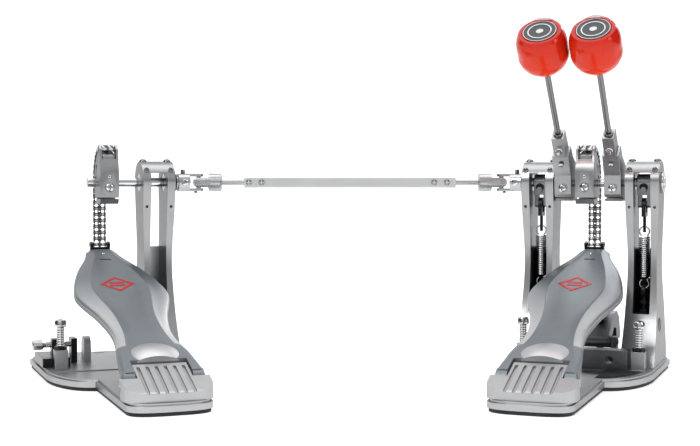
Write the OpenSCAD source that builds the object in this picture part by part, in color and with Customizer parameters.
// Double bass drum pedal: a main pedal with two beaters, a slave pedal with none, and a
// telescopic drive shaft with a universal joint at each end.
// Millimetres. X runs along the drive shaft, Y points at the drum, Z is up.
// The origin is on the floor, straight below the middle of the main pedal's axle.

/* [Layout] */
// Height of the axles above the floor
axle_z = 195; // [190:1:205]
// Half the distance between the two pedals
half_span = 251.5; // [245:0.5:265]
// Angle that each pedal is turned in toward the player
yaw = 21; // [15:1:22]
// Distance along the axle from a pedal's centre line to its universal joint
joint_reach = 97; // [96:1:100]

/* [Base plate] */
// Thickness of the rubber sheet under the base plate
rubber_t = 3.5; // [2.5:0.5:4]
// Thickness of the base plate
plate_t = 7.5; // [6:0.5:9]
// Half width of the base plate's heel strip
heel_half = 38; // [36:1:38]
// Half width of the base plate between the columns
wing_half = 74; // [73:1:78]
// How far the base plate reaches behind the axle
base_rear = 72; // [66:1:76]

/* [Footboard] */
// Slope of the footboard at rest
board_slope = 17.9; // [17:0.1:18.5]
// Distance from the heel pin to the toe, along the board
board_len = 299; // [296:1:299]
// How far the heel pin lies in front of the axle
heel_reach = 250; // [249:1:252]
// Height of the heel pin above the floor
heel_pin_z = 24; // [23.5:0.5:24.5]
// Height of the board's top face above the heel pin, square to the board
board_top = 9.5; // [9:0.5:10]

/* [Columns] */
// Distance from the main pedal's centre line to each column
column_x = 53.5; // [53:0.5:56]
// Distance from the slave pedal's centre line to its one column
slave_column_x = 50; // [50:0.5:54]
// Width of a column
column_w = 34; // [33:1:34]
// Radius of a column's round head
head_r = 22; // [21:0.5:23]
// Width of the window through a column
window_w = 17; // [16.5:0.5:17.5]

/* [Axle and cam] */
// Radius of the axles
axle_r = 4.75; // [4.5:0.25:5]
// Pitch radius of the chain on the cam
chain_r = 36; // [35.5:0.5:36.5]
// Distance between two chain pins
chain_pitch = 6.35; // [6.3:0.05:6.4]
// Radial clearance of a running fit
run_fit = 0.05; // [0.02:0.01:0.09]

/* [Beaters] */
// Angle that the beaters lean toward the player at rest
beater_lean = 42; // [40:1:43]
// Distance from the axle to the middle of a beater head
beater_reach = 170; // [165:1:174]
// Radius of a beater head
beater_r = 24.6; // [24.4:0.2:25]
// Radius of a beater rod
rod_r = 3; // [2.8:0.1:3.2]
// Distance from the main pedal's centre line to the first beater
first_x = 24; // [24:0.5:25]
// Distance from the main pedal's centre line to the second beater
second_x = -27; // [-27.5:0.5:-27]
// Width of a beater hub
hub_w = 17; // [16:0.5:17]

/* [Springs] */
// Distance from the axle down to the spring's crank pin
crank_r = 22; // [21:0.5:23]
// Height of the middle of the spring's lower loop
spring_foot_z = 88; // [86:1:90]
// Outer radius of a spring
spring_r = 6; // [5.5:0.1:6]

/* [Drive shaft] */
// Side of the square drive tube
tube_side = 12.5; // [12:0.5:13]
// Half the length of the drive tube
tube_half = 112; // [108:1:114]
// Radius of the rods at the drive shaft's ends
shaft_r = 2.9; // [2.7:0.1:3.1]

/* [Hidden] */
$fn = 48;

aluminium = [0.72, 0.73, 0.75];
dark_aluminium = [0.45, 0.47, 0.50];
chrome = [0.86, 0.87, 0.89];
black = [0.06, 0.06, 0.07];
red = [0.85, 0.08, 0.05];

base_top = rubber_t + plate_t;
waist_y = -138;
belly_y = -60;
heel_front_y = -268;
window_bottom = 62;
window_top = axle_z + 10;
web_top = 127;
crank_pin_z = axle_z - crank_r;
spur_x = 58;
spur_y = -62;
spur_r = 4;
// Each cam sits a little off its pedal's centre line, and the chain with it.
cam_x = -4;
slave_cam_x = -2;
slave_spur_x = -56;
slave_spur_y = -46;
bearing_r = 9;
eps = 0.02;

// Places a pedal's own frame, whose X runs along its axle.
module main_pedal() rotate([0, 0, -yaw]) children();
module slave_pedal() translate([-2 * half_span, 0, 0]) rotate([0, 0, yaw]) children();
// Places the drive line's frame, midway between the two universal joints.
module drive_line()
    translate([-half_span, joint_reach * sin(yaw), axle_z]) children();
joint_x = half_span - joint_reach * cos(yaw);

module at_axle() translate([0, 0, axle_z]) children();
module bar_x(r, x0, x1) translate([x0, 0, 0]) rotate([0, 90, 0]) cylinder(r = r, h = x1 - x0);
module bar_y(r, y0, y1) translate([0, y0, 0]) rotate([-90, 0, 0]) cylinder(r = r, h = y1 - y0);
module box(x0, x1, y0, y1, z0, z1) translate([x0, y0, z0]) cube([x1 - x0, y1 - y0, z1 - z0]);
// Extrudes an outline drawn in Y and Z along X.
module side_profile(points, x0, x1)
    translate([x0, 0, 0]) rotate([90, 0, 90]) linear_extrude(x1 - x0) polygon(points);

// A smooth curve through stations [x, value], read at x.
function slope_at(p, i) = i == 0 || i == len(p) - 1
    ? 0
    : (p[i + 1][1] - p[i - 1][1]) / (p[i + 1][0] - p[i - 1][0]);
function blend_at(a, b, da, db, h, t) = (2 * t^3 - 3 * t^2 + 1) * a
    + (t^3 - 2 * t^2 + t) * h * da
    + (3 * t^2 - 2 * t^3) * b
    + (t^3 - t^2) * h * db;
function curve_at(p, x, i = 0) = i < len(p) - 2 && x > p[i + 1][0]
    ? curve_at(p, x, i + 1)
    : blend_at(p[i][1], p[i + 1][1], slope_at(p, i), slope_at(p, i + 1),
        p[i + 1][0] - p[i][0], (x - p[i][0]) / (p[i + 1][0] - p[i][0]));
function mirrored(points) = concat(points,
    [for (i = [len(points) - 1:-1:0]) [-points[i][0], points[i][1]]]);

// ---- base plates -------------------------------------------------------------------

// Half width of the base plate: a narrow heel strip, then a rounded wing.
function wing_at(y) = heel_half + (wing_half - heel_half)
    * sqrt(max(0, 1 - pow((min(y, belly_y) - belly_y) / (waist_y - belly_y), 2)));
// The heel's front edge, a flat arch with rounded corners.
function heel_arc(half, depth) = [for (a = [5:10:85])
    [half * pow(sin(a), 2 / 3.2), heel_front_y - depth * pow(cos(a), 2 / 3.2)]];

module base_outline(inset = 0)
    polygon(mirrored(concat(
        heel_arc(heel_half - inset, 25 - inset),
        [[heel_half - inset, waist_y]],
        [for (a = [12:12:84]) [wing_at(belly_y + (waist_y - belly_y) * cos(a)) - inset,
            belly_y + (waist_y - belly_y) * cos(a) + inset / 2]],
        [[wing_half - inset, 46],
            [wing_half - 3 - inset, 52],
            [wing_half - 26 - inset, base_rear - 2 - inset],
            [wing_half - 32 - inset, base_rear - inset]])));

module base_plate() difference() {
    union() {
        translate([0, 0, rubber_t]) linear_extrude(plate_t - 2) base_outline();
        translate([0, 0, base_top - 2]) linear_extrude(2) base_outline(2.5);
    }
    translate([0, 0, base_top - 1]) linear_extrude(2) intersection() {
        base_outline(9);
        translate([-100, waist_y + 6]) square([200, -79 - waist_y]);
    }
}

module spur_boss(x, y) translate([x, y, 0]) box(-6.5, 6.5, -6.5, 6.5, base_top - 1.5, 29);
module spur_bore(x, y) translate([x, y, -1]) cylinder(r = spur_r + run_fit, h = 40);

module right_base_plate() color(aluminium) main_pedal() difference() {
    union() {
        base_plate();
        for (x = [-spur_x, spur_x]) spur_boss(x, spur_y);
    }
    for (x = [-spur_x, spur_x]) spur_bore(x, spur_y);
}

module left_base_plate() color(aluminium) slave_pedal() difference() {
    union() {
        base_plate();
        spur_boss(slave_spur_x, slave_spur_y);
        // Fixed lug of the stand clamp.
        box(-26, -19, -6, 12, base_top - 1, 27);
        translate([0, 3, 27]) bar_x(9, -26, -19);
    }
    spur_bore(slave_spur_x, slave_spur_y);
    for (x = [-3.5, 3.5]) translate([x, 57, 0]) cylinder(r = 2.6, h = 30);
    box(-3.5, 3.5, 54.4, 59.6, 0, 30);
}

module base_rubber(spurs) difference() {
    linear_extrude(rubber_t) base_outline(1.5);
    for (p = spurs) translate([p[0], p[1], -1]) cylinder(r = spur_r + 1.5, h = 10);
}
module right_base_rubber() color(black) main_pedal()
    base_rubber([[-spur_x, spur_y], [spur_x, spur_y]]);
module left_base_rubber() color(black) slave_pedal()
    base_rubber([[slave_spur_x, slave_spur_y]]);

// Ribbed rubber mat let into the outer front of the base.
module right_grip_mat() color(black) main_pedal()
    translate([0, 0, base_top - 1]) {
        intersection() {
            linear_extrude(1.2) base_outline(9.3);
            box(27, 80, waist_y + 7, -74, 0, 2);
        }
        intersection() {
            translate([0, 0, 1.2]) linear_extrude(0.8) base_outline(11);
            for (y = [waist_y + 9:6:-80]) box(29, 80, y, y + 3, 1.2, 2);
        }
    }

// ---- heel plates -------------------------------------------------------------------

heel_top_front = 20;
heel_rise = 0.34;
tongue_half = 24;
tongue_end = -234;

module heel_plate() difference() {
    intersection() {
        union() {
            linear_extrude(60) polygon(mirrored(concat(
                heel_arc(heel_half + 1, 19), [[heel_half + 1, -heel_reach - 10.5]])));
            box(-tongue_half, tongue_half, -heel_reach - 11, tongue_end, 0, 60);
        }
        side_profile([[-300, base_top], [tongue_end, base_top],
            [tongue_end, heel_top_front + heel_rise * 53 - 3],
            [tongue_end - 3, heel_top_front + heel_rise * 50],
            [-284, heel_top_front], [-300, heel_top_front - 8]], -50, 50);
    }
    // The grip grooves run up the slope and stop in the tongue.
    for (i = [-2.5:1:2.5])
        translate([i * 8, -300, heel_top_front - heel_rise * 16 + 0.3])
            rotate([atan(heel_rise), 0, 0]) bar_y(1.5, 0, 62);
    translate([0, -heel_reach, heel_pin_z]) bar_x(3 + eps, -50, 50);
}
module right_heel_plate() color(aluminium) main_pedal() heel_plate();
module left_heel_plate() color(aluminium) slave_pedal() heel_plate();

module hinge_pin() translate([0, -heel_reach, heel_pin_z]) {
    bar_x(3, -36.8, 36.8);
    for (x = [-37.8, 36.8]) bar_x(4, x, x + 1);
}
module right_hinge_pin() color(chrome) main_pedal() hinge_pin();
module left_hinge_pin() color(chrome) slave_pedal() hinge_pin();

// ---- footboards --------------------------------------------------------------------

// Half width of the footboard along its length, from the heel pin to the toe.
board_stations = [[-10, 36], [27, 33.5], [83, 27.5], [125, 33], [174, 45.5], [205, 43],
    [244, 33], [279, 20], [board_len, 16]];
// Half width of the raised flat along the middle.
flat_stations = [[48, 20], [83, 18], [125, 18], [180, 24], [244, 17], [288, 9]];

// How far the notch for the heel plate's tongue reaches up the board.
notch_u = 21;

module board_frame()
    translate([0, -heel_reach, heel_pin_z]) rotate([board_slope, 0, 0]) children();

module board_outline(inset, u0, u1)
    polygon(mirrored([for (i = [0:24]) let (u = u0 + (u1 - u0) * i / 24)
        [curve_at(board_stations, u) - inset, u]]));

// The board turns a little on its hinge, so that its toe comes under the chain.
module footboard(toe_shift) board_frame() difference() {
    turn = atan(-toe_shift / board_len);
    union() {
        rotate([0, 0, turn]) {
            translate([0, 0, board_top - 9]) linear_extrude(8)
                board_outline(0, -3, board_len);
            translate([0, 0, board_top - 1]) linear_extrude(1)
                board_outline(2, -1, board_len - 1.5);
            translate([0, 0, board_top]) linear_extrude(0.8) polygon(mirrored(
                [for (i = [0:16]) let (u = 48 + 15 * i) [curve_at(flat_stations, u), u]]));
        }
        bar_x(board_top, -35.5, 35.5);
        intersection() {
            translate([0, 34, board_top + 6 - 45]) sphere(r = 45);
            box(-26, 26, notch_u, 80, board_top, 30);
        }
    }
    // Hollow underside behind a solid heel and toe.
    rotate([0, 0, turn]) translate([0, 0, board_top - 10]) linear_extrude(5.5)
        board_outline(3.2, 46, board_len - 12);
    // The heel plate's tongue stands in this notch.
    box(-tongue_half - 1.2, tongue_half + 1.2, -30, notch_u, -20, 40);
    bar_x(3 + run_fit, -60, 60);
    for (x = [-7, 2]) translate([x, 265, 0]) cylinder(r = 1.6, h = 30);
    box(-7, 2, 263.4, 266.6, 0, 30);
}
module right_footboard() color(dark_aluminium) main_pedal() footboard(-3);
module left_footboard() color(dark_aluminium) slave_pedal() footboard(-2);

// Lower end of the chain, in the footboard's own frame.
toe_drop = axle_z - 66 - heel_pin_z;
toe_u = (chain_r + heel_reach) * cos(board_slope) + toe_drop * sin(board_slope);
toe_n = toe_drop * cos(board_slope) - (chain_r + heel_reach) * sin(board_slope);
clevis_u = board_len + 0.25;

module toe_clevis() board_frame() {
    difference() {
        union() {
            box(-10.4, 10.4, clevis_u, board_len + 2.6, board_top - 9, board_top + 1);
            for (x = [-10.4, 7.4]) {
                box(x, x + 3, clevis_u, toe_u, board_top - 9, toe_n + 3.2);
                translate([0, toe_u, toe_n]) bar_x(3.2, x, x + 3);
            }
        }
        translate([0, toe_u, toe_n]) bar_x(1.5, -20, 20);
    }
    translate([0, toe_u, toe_n]) bar_x(1.5 - eps, -10.9, 10.9);
}
module right_toe_clevis() color(black) main_pedal() translate([cam_x, 0, 0]) toe_clevis();
module left_toe_clevis() color(black) slave_pedal() translate([slave_cam_x, 0, 0])
    toe_clevis();

// ---- columns -----------------------------------------------------------------------

front_stations = [[base_top, -46], [30, -36], [62, -22], [115, -13.5], [165, -18],
    [axle_z, -head_r]];
rear_stations = [[base_top, 43], [60, 35], [115, 24], [165, 20], [axle_z, head_r]];
width_stations = [[base_top, 0], [60, 1], [110, 2.5], [165, 0.5], [axle_z + head_r, 0]];

face_screw_z = axle_z + 13;

function column_rise(i) = base_top + (axle_z - base_top) * i / 16;

module column() difference() {
    intersection() {
        side_profile(concat(
            [for (i = [0:16]) [curve_at(front_stations, column_rise(i)), column_rise(i)]],
            [for (a = [170:-10:10]) [head_r * cos(a), axle_z + head_r * sin(a)]],
            [for (i = [16:-1:0]) [curve_at(rear_stations, column_rise(i)), column_rise(i)]]),
            -column_w / 2, column_w / 2);
        // The column is a little slimmer at its waist.
        translate([0, 100, 0]) rotate([90, 0, 0]) linear_extrude(200) polygon(mirrored(
            [for (i = [0:17]) let (z = base_top + (axle_z + head_r - base_top) * i / 17)
                [column_w / 2 - curve_at(width_stations, z), z]]));
    }
    box(-window_w / 2, window_w / 2, -60, 60, web_top, window_top);
    // Below, a web closes the back of the window.
    side_profile([[-60, window_bottom], [29, window_bottom], [18, web_top],
        [18, web_top + 1], [-60, web_top + 1]], -window_w / 2, window_w / 2);
    at_axle() bar_x(bearing_r + eps, -30, 30);
    // Seats of the two cap bolts and of the two face screws, and a hole in each cheek.
    for (x = [-12.7, 12.7]) {
        translate([x, 0, axle_z + 18]) cylinder(r = 3.9, h = 20);
        translate([x, 0, face_screw_z]) bar_y(3, -30, -17.9);
        translate([x, 0, 170]) bar_y(1.5, -30, -12);
    }
}

module column_bearings() at_axle() for (s = [-1, 1]) difference() {
    union() {
        bar_x(bearing_r, s > 0 ? window_w / 2 + 0.4 : -column_w / 2, s > 0 ? column_w / 2
            : -window_w / 2 - 0.4);
    }
    bar_x(axle_r + run_fit, -30, 30);
}

module column_bolts() {
    for (x = [-12.7, 12.7]) {
        translate([x, 0, axle_z + 18]) cylinder(r = 3.7, h = 3);
        translate([x, 0, axle_z + 21]) intersection() {
            translate([0, 0, -2.5]) sphere(r = 4.4);
            cylinder(r = 5, h = 5);
        }
        translate([x, 0, face_screw_z]) bar_y(2.6, -19.6, -17.9);
    }
}

module outer_column() color(aluminium) main_pedal() translate([column_x, 0, 0]) column();
module inner_column() color(aluminium) main_pedal() translate([-column_x, 0, 0]) column();
module left_column() color(aluminium) slave_pedal() translate([slave_column_x, 0, 0])
    column();

module right_bearings() color(chrome) main_pedal() {
    for (x = [-column_x, column_x]) translate([x, 0, 0]) column_bearings();
    // Cap over the end of the axle.
    translate([column_x, 0, axle_z]) {
        bar_x(11, column_w / 2, column_w / 2 + 2.5);
        bar_x(6, column_w / 2 + 2.5, column_w / 2 + 4);
    }
}
module left_bearings() color(chrome) slave_pedal() translate([slave_column_x, 0, 0])
    column_bearings();
module right_column_bolts() color(chrome) main_pedal()
    for (x = [-column_x, column_x]) translate([x, 0, 0]) column_bolts();
module left_column_bolts() color(chrome) slave_pedal() translate([slave_column_x, 0, 0])
    column_bolts();

// ---- springs -----------------------------------------------------------------------

// Threaded posts that hold the springs' lower loops, with their nuts.
module spring_posts() color(black) main_pedal()
    for (x = [-column_x, column_x]) translate([x, 0, 0]) {
        translate([0, 0, window_bottom]) {
            cylinder(r = 6, h = 3.5, $fn = 6);
            cylinder(r = 2.8, h = 16);
            translate([0, 0, 9]) cylinder(r = 5, h = 4, $fn = 6);
        }
        difference() {
            translate([0, 0, spring_foot_z - 4]) bar_x(6.4, -1.8, 1.8);
            translate([0, 0, spring_foot_z - 4]) bar_x(3.2, -5, 5);
        }
    }

module spring() difference() {
    union() {
        translate([0, 0, spring_foot_z + 9]) cylinder(r = spring_r, h = 43);
        for (z = [spring_foot_z + 5.5, spring_foot_z + 52]) translate([0, 0, z])
            cylinder(r = 2.2, h = 3.5);
    }
    translate([0, 0, spring_foot_z + 10]) cylinder(r = spring_r - 1.8, h = 41);
}
module outer_spring() color(chrome) main_pedal() translate([column_x, 0, 0]) spring();
module inner_spring() color(chrome) main_pedal() translate([-column_x, 0, 0]) spring();

// The loop hangs from the crank pin. Its slot leaves room for the pin to swing.
module stirrup() {
    difference() {
        union() {
            translate([0, 0, crank_pin_z - 1.5]) bar_x(8, -2, 2);
            box(-2, 2, -8, 8, crank_pin_z - 13, crank_pin_z - 1.5);
        }
        translate([0, 0, crank_pin_z - 1.8]) bar_x(4.6, -3, 3);
        box(-3, 3, -4.6, 4.6, crank_pin_z - 9, crank_pin_z - 1.8);
    }
    translate([0, 0, spring_foot_z + 56]) cylinder(r = 1.6, h = crank_pin_z - 69 - spring_foot_z);
}
module outer_stirrup() color(black) main_pedal() translate([column_x, 0, 0]) stirrup();
module inner_stirrup() color(black) main_pedal() translate([-column_x, 0, 0]) stirrup();

// A block clamped on the axle inside the column, with two lugs that hold the spring's pin.
module crank() at_axle() {
    difference() {
        union() {
            bar_x(8.6, -6.5, 6.5);
            box(-6.5, 6.5, -8.2, 2, -13, 0);
            for (s = [-1, 1]) {
                box(s * 4.6 - 1.9, s * 4.6 + 1.9, -4, 4, -crank_r, -5);
                translate([0, 0, -crank_r]) bar_x(4, s * 4.6 - 1.9, s * 4.6 + 1.9);
            }
        }
        bar_x(axle_r + eps, -20, 20);
        translate([0, 0, -crank_r]) bar_x(2.2 + eps, -20, 20);
    }
    translate([0, 0, -crank_r]) bar_x(2.2, -7, 7);
    translate([0, 0, -7.5]) bar_y(3.2, -11, -8.2, $fn = 6);
}
module outer_crank() color(dark_aluminium) main_pedal() translate([column_x, 0, 0]) crank();
module inner_crank() color(dark_aluminium) main_pedal() translate([-column_x, 0, 0]) crank();

// ---- axles, cams and hubs ----------------------------------------------------------

spigot_end = second_x + 2;

// The main axle turns in the outer column, and its inner end turns inside the second hub.
module right_axle() color(chrome) main_pedal() at_axle()
    bar_x(axle_r, spigot_end, column_x + column_w / 2 - 0.5);
// The second axle carries the second hub and leaves through the inner column.
module second_axle() color(chrome) main_pedal() at_axle()
    bar_x(axle_r, -joint_reach + 11, spigot_end - 1);
module left_axle() color(chrome) slave_pedal() at_axle()
    bar_x(axle_r, -21, joint_reach - 11);

cam_wheel_r = chain_r - 3.4;
chain_end_angle = 112;

// Along the pin that anchors the end of the chain to the cam.
module anchor_pin(r, half) rotate([chain_end_angle - 3, 0, 0]) translate([0, chain_r, 0])
    bar_x(r, -half, half);

module cam() at_axle() difference() {
    union() {
        difference() {
            bar_x(cam_wheel_r, -6, 6);
            box(-20, 20, -60, 60, -60, -15);
            box(-20, 20, -60, -18, -60, 60);
            for (a = [5:33:110]) rotate([a, 0, 0]) translate([0, 21, 0]) bar_x(6, -20, 20);
        }
        // Split clamp block on the player's side.
        side_profile([[0, -22], [-19, -22], [-23, -17], [-24, 12], [-19, 24], [-11, 27],
            [0, 12]], -9.5, 9.5);
        // Ears that hold the end of the chain.
        for (x = [-9.5, 7.2])
            side_profile([[-21, 18], [-19, 34], [-14, 38.5], [-9, 37.5], [-8, 18]],
                x, x + 2.3);
    }
    bar_x(axle_r + eps, -20, 20);
    box(-20, 20, -40, -4, -17, -15.4);
    anchor_pin(1.5, 20);
    // Seats of the clamp screw and of the grub screw.
    translate([0, 0, -5]) bar_y(4.8, -40, -22.6);
    translate([0, 0, 6]) bar_y(2.1, -40, -23);
}
module right_cam() color(aluminium) main_pedal() translate([cam_x, 0, 0]) cam();
module left_cam() color(aluminium) slave_pedal() translate([slave_cam_x, 0, 0]) cam();

// Two rows of links: three plate bands, and a pin and its rollers at each pitch.
module chain_band(x0, x1) {
    translate([x0, 0, 0]) rotate([90, 0, 90]) rotate_extrude(angle = chain_end_angle)
        translate([chain_r - 2.9, 0]) square([5.8, x1 - x0]);
    box(x0, x1, chain_r - 2.9, chain_r + 2.9, -66, 0);
    translate([0, chain_r, -66]) bar_x(2.9, x0, x1);
}
module chain() at_axle() difference() {
    union() {
        for (x = [[-6.85, -5.6], [-0.9, 0.9], [5.6, 6.85]]) chain_band(x[0], x[1]);
        for (i = [1:9]) translate([0, chain_r, -66 + i * chain_pitch]) bar_x(1.65, -6, 6);
        for (i = [0:10]) rotate([4 + i * 9.8, 0, 0]) translate([0, chain_r, 0])
            bar_x(1.65, -6, 6);
    }
    translate([0, chain_r, -66]) bar_x(1.5 + run_fit, -20, 20);
    anchor_pin(1.5 + run_fit, 20);
}
module right_chain() color(chrome) main_pedal() translate([cam_x, 0, 0]) chain();
module left_chain() color(chrome) slave_pedal() translate([slave_cam_x, 0, 0]) chain();

// Frame along a beater's rod, with the axle at its origin.
module rod_frame() at_axle() rotate([beater_lean, 0, 0]) children();

module hub() difference() {
    at_axle() side_profile([[11, -19], [-15, -19], [-20, -12], [-21, 7], [-26, 14], [-32, 25],
        [-49.5, 43.5], [-38, 54], [-10, 27], [10, 18], [16, 6], [16, -10]],
        -hub_w / 2, hub_w / 2);
    // The rod socket is slimmer than the clamp.
    for (s = [-1, 1]) rod_frame() translate([s * (hub_w / 2 + 4.5), 0, 60])
        cube([14, 60, 36], center = true);
    at_axle() box(-20, 20, -40, -5, -16.6, -15);
    rod_frame() translate([0, 0, 24]) cylinder(r = rod_r + run_fit, h = 60);
}
module first_hub() color(aluminium) main_pedal() difference() {
    translate([first_x, 0, 0]) hub();
    at_axle() bar_x(axle_r + eps, 0, 60);
}
module second_hub() color(aluminium) main_pedal() difference() {
    translate([second_x, 0, 0]) hub();
    at_axle() bar_x(axle_r + run_fit, spigot_end - 0.5, 0);
    at_axle() bar_x(axle_r + eps, -60, spigot_end - 0.5);
}

// Screws of a hub: the axle clamp's, the face's, and the square one that locks the rod.
module hub_screws() {
    at_axle() translate([0, 0, -6]) bar_y(4.2, -24.5, -20.75);
    rod_frame() {
        translate([0, 0, 50]) bar_y(3.2, -12.6, -7.6, $fn = 4);
        translate([0, 0, 33]) bar_y(2.6, -12, -9.6);
    }
}
// Screws of a cam: the chain anchor bolt, the clamp screw, and a small grub screw.
module cam_screws() at_axle() {
    anchor_pin(1.5 - eps, 10.5);
    translate([0, 0, -5]) bar_y(4.4, -26.4, -22.6);
    translate([0, 0, 6]) bar_y(1.8, -24.2, -23);
}
module right_rotor_screws() color(chrome) main_pedal() {
    translate([first_x, 0, 0]) hub_screws();
    translate([cam_x, 0, 0]) cam_screws();
}
module second_rotor_screws() color(chrome) main_pedal() translate([second_x, 0, 0])
    hub_screws();
module left_rotor_screws() color(chrome) slave_pedal() translate([slave_cam_x, 0, 0])
    cam_screws();

// ---- beaters -----------------------------------------------------------------------

head_low = beater_reach - 22.5;
head_high = beater_reach + 22.5;
head_stations = [[0, 12], [7, 20], [16, 24.4], [25, beater_r], [35, 24.4], [42, 22.3],
    [45, 20.6]];
pad_face = 18.5;

module beater_rod() rod_frame()
    translate([0, 0, 30]) cylinder(r = rod_r, h = beater_reach - 20);
module beater_head() rod_frame() {
    difference() {
        rotate_extrude() polygon(concat([[0, head_low]],
            [for (i = [0:15]) [curve_at(head_stations, 3 * i), head_low + 3 * i]],
            [[0, head_high]]));
        translate([-30, pad_face, head_low]) cube(60);
        cylinder(r = rod_r + eps, h = beater_reach + 10.1);
    }
    // Striking pad on the drum side, and a plain round badge on top.
    translate([0, 0, beater_reach + 8]) bar_y(18, pad_face, pad_face + 5);
    translate([0, 0, head_high]) cylinder(r = 16, h = 1.2);
}
module first_beater_rod() color(chrome) main_pedal() translate([first_x, 0, 0]) beater_rod();
module first_beater_head() color(red) main_pedal() translate([first_x, 0, 0]) beater_head();
module second_beater_rod() color(chrome) main_pedal() translate([second_x, 0, 0])
    beater_rod();
module second_beater_head() color(red) main_pedal() translate([second_x, 0, 0])
    beater_head();

// ---- floor spurs, hoop clamp and stand clamp ---------------------------------------

module spur(x, y) translate([x, y, 0]) {
    translate([0, 0, 1.4]) cylinder(r1 = 1, r2 = spur_r, h = 5);
    translate([0, 0, 6.4]) cylinder(r = spur_r, h = 45.6);
    translate([0, 0, 52]) cylinder(r = 6, h = 7);
}
module right_spur_outer() color(chrome) main_pedal() spur(spur_x, spur_y);
module right_spur_inner() color(chrome) main_pedal() spur(-spur_x, spur_y);
module left_spur() color(chrome) slave_pedal() spur(slave_spur_x, slave_spur_y);

jaw_pin_y = 4;
jaw_pin_z = 30;
hoop_screw_y = 21;
jaw_mid_x = 5;

// Bracket under the toe that holds the jaw, with a bar toward the player's side.
module hoop_casting() color(dark_aluminium) main_pedal() {
    difference() {
        union() {
            box(-16, 26, -10, 12, base_top, 22);
            for (x = [-16, 20]) {
                box(x, x + 6, -2, 10, 20, jaw_pin_z);
                translate([0, jaw_pin_y, jaw_pin_z]) bar_x(6, x, x + 6);
            }
            box(-4, 14, 11, 29, base_top, 19);
            box(3, 17, -52, -9, base_top, 20);
            box(3, 48, -70, -50, base_top, 30);
        }
        translate([0, jaw_pin_y, jaw_pin_z]) bar_x(3 + eps, -40, 40);
        translate([jaw_mid_x, hoop_screw_y, 0]) cylinder(r = 3.4 + run_fit, h = 40);
        translate([30, -60, 20]) bar_y(4, -15, 15);
    }
    translate([0, jaw_pin_y, jaw_pin_z]) bar_x(3, -17, 27);
}

// The jaw is a hooked lever. Its pad presses the drum's hoop onto the base plate.
module hoop_jaw() color(dark_aluminium) main_pedal() difference() {
    union() {
        side_profile([[-1, 25], [10, 27], [30, 42], [44, 40], [47, 27], [68, 27],
            [70, 32], [62, 50], [48, 58], [26, 56], [-2, 36]], -8, 18);
        translate([0, jaw_pin_y, jaw_pin_z]) bar_x(6.5, -9.6, 19.6);
    }
    translate([0, jaw_pin_y, jaw_pin_z]) bar_x(3 + run_fit, -40, 40);
    box(jaw_mid_x - 3.9, jaw_mid_x + 3.9, hoop_screw_y - 8, hoop_screw_y + 8, 0, 80);
}

// Clamping screw with its round knob on top.
module hoop_screw() color(black) main_pedal() translate([jaw_mid_x, hoop_screw_y, 0]) {
    translate([0, 0, base_top + 3]) cylinder(r = 3.4, h = 49);
    translate([0, 0, 60.5]) cylinder(r = 9, h = 7);
    translate([0, 0, 67.5]) cylinder(r1 = 9, r2 = 6, h = 3);
}

stand_y = -9;
stand_z = 30;

module stand_plate() color(black) slave_pedal() difference() {
    union() {
        box(-73, -46, -42, 17, base_top, 20);
        box(-60, -53, stand_y - 6, stand_y + 6, 20, 36);
    }
    translate([slave_spur_x, slave_spur_y, 0]) box(-7, 7, -7, 7, 0, 40);
    translate([0, stand_y, stand_z]) bar_x(3 + run_fit, -100, 0);
}
module stand_screw() color(chrome) slave_pedal() translate([0, stand_y, stand_z]) {
    bar_x(3, -70, -36);
    bar_x(4.8, -79, -68);
}
module stand_jaw() color(black) slave_pedal() difference() {
    side_profile([[-14, base_top + 0.4], [-2, base_top + 0.4], [4, 36], [-15, 36]], -40.5, -34.5);
    translate([0, stand_y, stand_z]) bar_x(3 + eps, -50, -36);
}

// ---- drive line --------------------------------------------------------------------

ear_r = 5;
ear_in = 6.3;
ear_out = 9.4;

// A fork in its own frame: the joint's centre is the origin, the stem points along +X,
// and the ears stand above and below.
module fork(body_end, pin_r) difference() {
    union() {
        bar_x(9.4, 11, body_end);
        intersection() {
            union() {
                box(0, 14, -ear_r, ear_r, -ear_out, ear_out);
                cylinder(r = ear_r, h = 2 * ear_out, center = true);
            }
            bar_x(ear_out + 0.3, -10, 15);
        }
    }
    box(-10, 11, -12, 12, -ear_in, ear_in);
    cylinder(r = pin_r, h = 40, center = true);
}

module yoke_a() difference() {
    union() {
        fork(23, 2.85);
        bar_x(7, 23, 25.2);
        translate([17, 0, 8]) cylinder(r = 2.4, h = 5.5, $fn = 4);
    }
    bar_x(axle_r + eps, 11 - 0.01, 40);
}
module right_yoke_a() color(aluminium) main_pedal() at_axle()
    translate([-joint_reach, 0, 0]) yoke_a();
module left_yoke_a() color(aluminium) slave_pedal() at_axle()
    translate([joint_reach, 0, 0]) rotate([0, 0, 180]) yoke_a();

module cross() {
    cube([7, 7, 8], center = true);
    cylinder(r = 2.5, h = 18.4, center = true);
    bar_y(2.5, -9.2, 9.2);
}
module right_cross() color(chrome) drive_line() translate([joint_x, 0, 0]) cross();
module left_cross() color(chrome) drive_line() translate([-joint_x, 0, 0]) cross();

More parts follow.
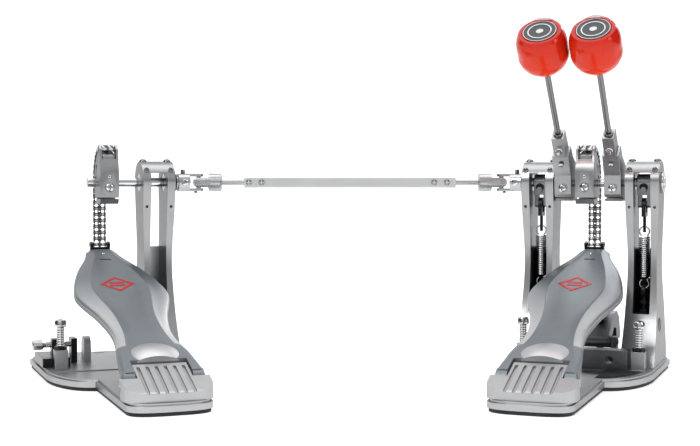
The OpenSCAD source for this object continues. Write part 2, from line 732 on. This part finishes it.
// Fork and rod in one, fixed in the tube.
module right_shaft() color(aluminium) drive_line() translate([joint_x, 0, 0]) {
    rotate([90, 0, 180]) fork(24, 2.5 + run_fit);
    bar_x(shaft_r, -(joint_x - tube_half + 60), -20);
}
// The left rod slides in the tube. The left fork turns on its end.
module left_shaft() color(aluminium) drive_line()
    bar_x(shaft_r, -joint_x + 15, -tube_half + 54);
module left_yoke_b() color(aluminium) drive_line() translate([-joint_x, 0, 0]) difference() {
    rotate([90, 0, 0]) fork(24, 2.5 + run_fit);
    bar_x(shaft_r + run_fit, 14.7, 40);
}

tube_chamfer = 1.6;
module drive_tube() color(aluminium) drive_line() {
    difference() {
        intersection() {
            box(-tube_half, tube_half, -tube_side / 2, tube_side / 2, -tube_side / 2,
                tube_side / 2);
            rotate([45, 0, 0]) cube([2 * tube_half, tube_side * 1.25, tube_side * 1.25],
                center = true);
        }
        bar_x(shaft_r + run_fit, -tube_half - 1, 0);
        bar_x(shaft_r + eps, 0, tube_half + 1);
    }
    // Four pan-head lock screws.
    for (x = [-tube_half + 5, -tube_half + 18.5, tube_half - 23, tube_half - 9.5])
        translate([x, 0, 0]) bar_y(4.25, -tube_side / 2 - 2.2, -tube_side / 2);
}

right_base_plate();
right_base_rubber();
right_grip_mat();
right_heel_plate();
right_hinge_pin();
outer_column();
inner_column();
right_bearings();
right_column_bolts();
spring_posts();
hoop_casting();
hoop_jaw();
hoop_screw();
right_spur_outer();
right_spur_inner();
right_axle();
right_cam();
right_chain();
first_hub();
right_rotor_screws();
outer_crank();
first_beater_rod();
first_beater_head();
second_axle();
second_hub();
second_rotor_screws();
inner_crank();
second_beater_rod();
second_beater_head();
outer_spring();
inner_spring();
outer_stirrup();
inner_stirrup();
right_footboard();
right_toe_clevis();
left_base_plate();
left_base_rubber();
left_heel_plate();
left_hinge_pin();
left_column();
left_bearings();
left_column_bolts();
left_spur();
stand_plate();
stand_screw();
stand_jaw();
left_axle();
left_cam();
left_chain();
left_rotor_screws();
left_footboard();
left_toe_clevis();
right_yoke_a();
right_cross();
right_shaft();
drive_tube();
left_shaft();
left_yoke_b();
left_cross();
left_yoke_a();
